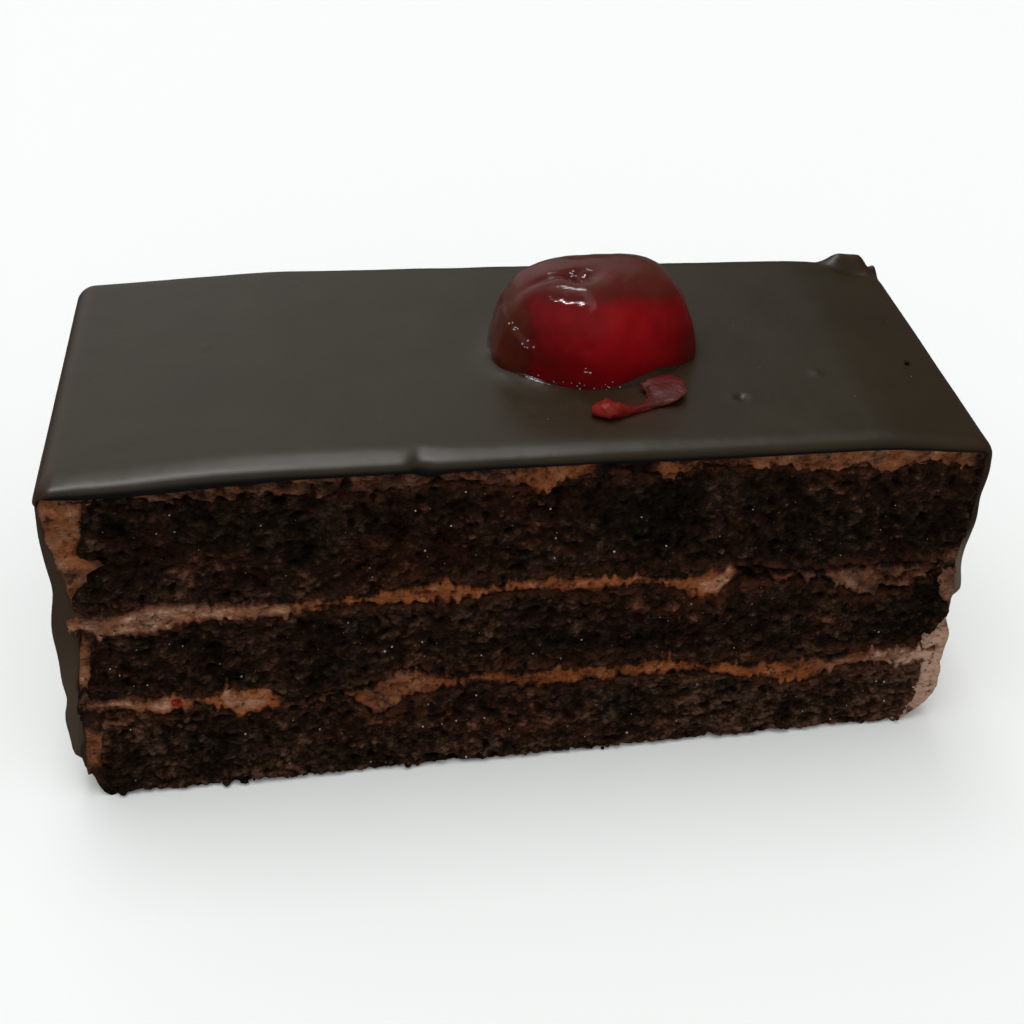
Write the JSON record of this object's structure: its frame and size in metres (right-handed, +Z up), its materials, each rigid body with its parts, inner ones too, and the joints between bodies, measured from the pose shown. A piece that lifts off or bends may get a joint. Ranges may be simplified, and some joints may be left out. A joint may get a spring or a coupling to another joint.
{
  "type": "chocolate pastry slice",
  "caption": "Rectangular slice of glazed chocolate layer cake with cream fillings, a cream coat on top and ends, and a glace cherry.",
  "frame": {"origin": "bottom centre of the slice's bounding box, on the surface it stands on", "axes": "+X along the slice's length, to the right when the front cut face is seen; +Y from the front cut face to the back one; +Z up"},
  "size_m": [0.097, 0.0462, 0.0499],
  "materials": {
    "sponge": "dark chocolate sponge, open moist crumb",
    "cream": "whipped chocolate cream, soft satin",
    "glaze": "poured dark chocolate glaze, satin gloss",
    "cherry": "wet translucent glace cherry"
  },
  "bodies": {
    "root": {"sponge_lower": "sponge", "cream_lower": "cream", "sponge_middle": "sponge", "cream_upper": "cream", "sponge_upper": "sponge", "cream_coat": "cream", "glaze": "glaze", "cherry": "cherry", "cherry_shred": "cherry"}
  },
  "joints": []
}
